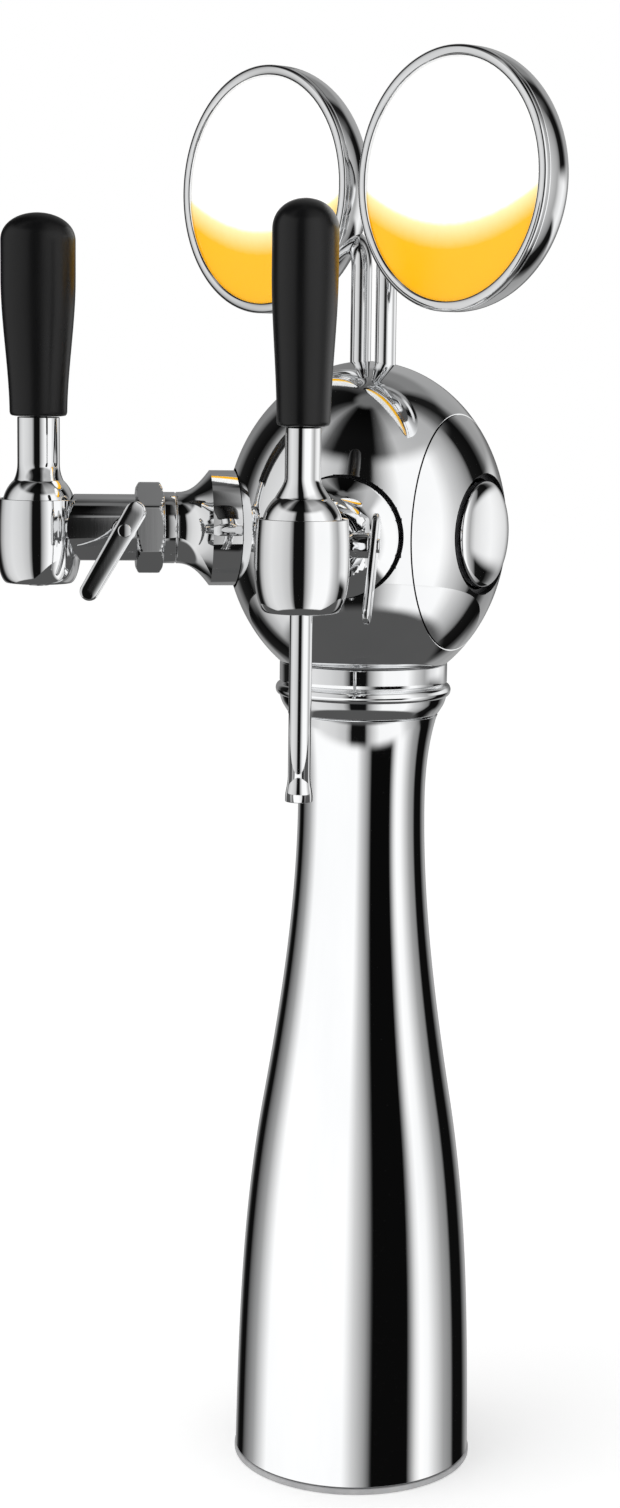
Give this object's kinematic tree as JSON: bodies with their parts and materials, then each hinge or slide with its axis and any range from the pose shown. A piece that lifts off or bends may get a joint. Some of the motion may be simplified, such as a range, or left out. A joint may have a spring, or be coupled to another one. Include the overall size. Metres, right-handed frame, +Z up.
{
  "type": "drinks dispensing tower",
  "caption": "Counter-top chrome dispensing tower: flared column, egg-shaped head, lever taps on side shanks, spout and round illuminated medallions on stalks.",
  "frame": {"origin": "on the column's axis, on the underside of the foot gasket where it rests on the counter", "axes": "+Z up along the column; -Y towards the user, between the two taps; +X to the user's right"},
  "size_m": [0.2458, 0.2155, 0.6874],
  "materials": {
    "gasket": "smooth",
    "base_plate": "painted",
    "column": "polished",
    "seal": "matt",
    "steel": "turned",
    "head": "polished",
    "brass_nut": "machined",
    "tap_chrome": "polished",
    "grip_black": "gloss",
    "cone_white": "moulded",
    "medallion_chrome": "polished",
    "medallion_face": "gloss",
    "lamp_board": "printed board",
    "tube": "smooth"
  },
  "bodies": {
    "tower": {"base_gasket": "gasket", "base_plate": "base_plate", "column_shell": "column", "neck_collar": "column", "neck_seal_ring": "seal", "tie_rod": "steel", "clamp_bridge": "steel", "tie_rod_nut": "steel", "head_casting": "head", "head_cover_right": "head", "head_cover_left": "head", "side_cap_right": "head", "side_cap_left": "head", "side_cap_nut_right": "brass_nut", "side_cap_nut_left": "brass_nut", "shank_right": "steel", "shank_left": "steel", "shank_nut_right": "brass_nut", "shank_nut_left": "brass_nut", "shank_flange_right": "tap_chrome", "shank_flange_left": "tap_chrome", "shank_sleeve_right": "tap_chrome", "shank_sleeve_left": "tap_chrome", "coupling_nut_right": "tap_chrome", "coupling_nut_left": "tap_chrome", "tap_body_right": "tap_chrome", "tap_body_left": "tap_chrome", "spout_right": "tap_chrome", "outlet_ring_left": "tap_chrome", "medallion_stalk_right": "medallion_chrome", "medallion_stalk_left": "medallion_chrome", "stalk_nut_right": "brass_nut", "stalk_nut_left": "brass_nut", "medallion_housing_right": "medallion_chrome", "medallion_housing_left": "medallion_chrome", "medallion_bezel_right": "medallion_chrome", "medallion_bezel_left": "medallion_chrome", "medallion_face_right": "medallion_face", "medallion_face_left": "medallion_face", "medallion_board_right": "lamp_board", "medallion_board_left": "lamp_board", "water_tube_right": "tube", "water_tube_left": "tube"},
    "tap_lever_right": {"tap_lever_right": "tap_chrome", "tap_handle_right": "grip_black"},
    "valve_piston_right": {"valve_piston_right": "brass_nut"},
    "compensator_lever_right": {"compensator_lever_right": "tap_chrome"},
    "compensator_cone_right": {"compensator_cone_right": "cone_white"},
    "tap_lever_left": {"tap_lever_left": "tap_chrome", "tap_handle_left": "grip_black"},
    "valve_piston_left": {"valve_piston_left": "brass_nut"},
    "compensator_lever_left": {"compensator_lever_left": "tap_chrome"},
    "compensator_cone_left": {"compensator_cone_left": "cone_white"}
  },
  "joints": [
    {"name": "tap_lever_tilt_right", "type": "hinge", "parent": "tower", "child": "tap_lever_right", "pos_m": [0.09228, -0.12702, 0.4755], "axis": [0.809, 0.5878, 0], "range_deg": [0, 30]},
    {"name": "valve_slide_right", "type": "slide", "parent": "tower", "child": "valve_piston_right", "axis": [0.5878, -0.809, 0], "range_m": [-0.0045, 0]},
    {"name": "compensator_turn_right", "type": "hinge", "parent": "tower", "child": "compensator_lever_right", "pos_m": [0.06907, -0.09506, 0.466], "axis": [0.809, 0.5878, 0], "range_deg": [-40, 40]},
    {"name": "compensator_slide_right", "type": "slide", "parent": "tower", "child": "compensator_cone_right", "axis": [0.5878, -0.809, 0], "range_m": [-0.0014, 0.0014]},
    {"name": "tap_lever_tilt_left", "type": "hinge", "parent": "tower", "child": "tap_lever_left", "pos_m": [-0.09228, -0.12702, 0.4755], "axis": [0.809, -0.5878, 0], "range_deg": [0, 30]},
    {"name": "valve_slide_left", "type": "slide", "parent": "tower", "child": "valve_piston_left", "axis": [-0.5878, -0.809, 0], "range_m": [-0.0045, 0]},
    {"name": "compensator_turn_left", "type": "hinge", "parent": "tower", "child": "compensator_lever_left", "pos_m": [-0.06907, -0.09506, 0.466], "axis": [0.809, -0.5878, 0], "range_deg": [-40, 40]},
    {"name": "compensator_slide_left", "type": "slide", "parent": "tower", "child": "compensator_cone_left", "axis": [-0.5878, -0.809, 0], "range_m": [-0.0014, 0.0014]}
  ],
  "couplings": [
    {"joint": "valve_slide_right", "follows": "tap_lever_tilt_right", "m_per_rad": -0.0083},
    {"joint": "compensator_slide_right", "follows": "compensator_turn_right", "m_per_rad": -0.00184},
    {"joint": "valve_slide_left", "follows": "tap_lever_tilt_left", "m_per_rad": -0.0083},
    {"joint": "compensator_slide_left", "follows": "compensator_turn_left", "m_per_rad": -0.00184}
  ]
}
